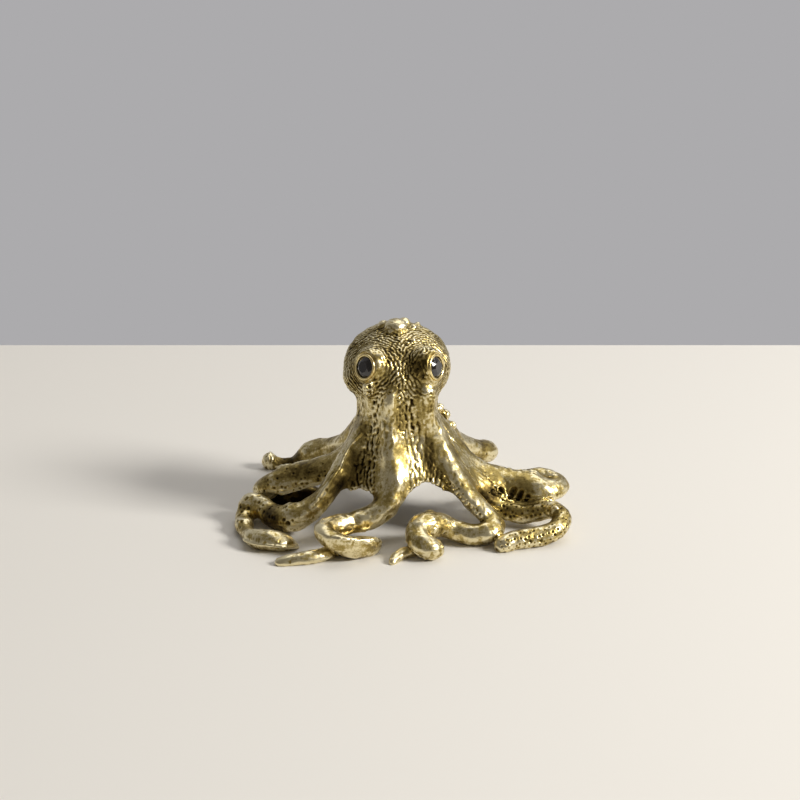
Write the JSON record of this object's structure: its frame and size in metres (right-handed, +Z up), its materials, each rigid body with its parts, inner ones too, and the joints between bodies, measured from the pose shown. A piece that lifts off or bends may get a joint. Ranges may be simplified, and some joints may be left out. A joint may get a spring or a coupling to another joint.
{
  "type": "octopus figurine",
  "caption": "Cast brass octopus figurine with a domed mantle, lobed web over a hollow, curled arms that rest on the table and dark faceted stone eyes.",
  "frame": {"origin": "on the table plane, under the middle of the footprint", "axes": "+X to the right as the face is looked at from the front, the face looks along -Y, +Z up"},
  "size_m": [0.0637, 0.0534, 0.0376],
  "materials": {
    "antique_brass": "cast brass with a dark patina in the recesses and polished high spots",
    "bezel_brass": "polished brass",
    "eye_stone": "faceted and polished, near black"
  },
  "bodies": {
    "root": {"mantle_and_web": "antique_brass", "arm_front_left": "antique_brass", "arm_front_right": "antique_brass", "arm_left_front": "antique_brass", "arm_left": "antique_brass", "arm_left_rear": "antique_brass", "arm_right_rear": "antique_brass", "arm_right": "antique_brass", "arm_right_front": "antique_brass", "eye_bezel_left": "bezel_brass", "eye_bezel_right": "bezel_brass", "eye_stone_left": "eye_stone", "eye_stone_right": "eye_stone"}
  },
  "joints": []
}
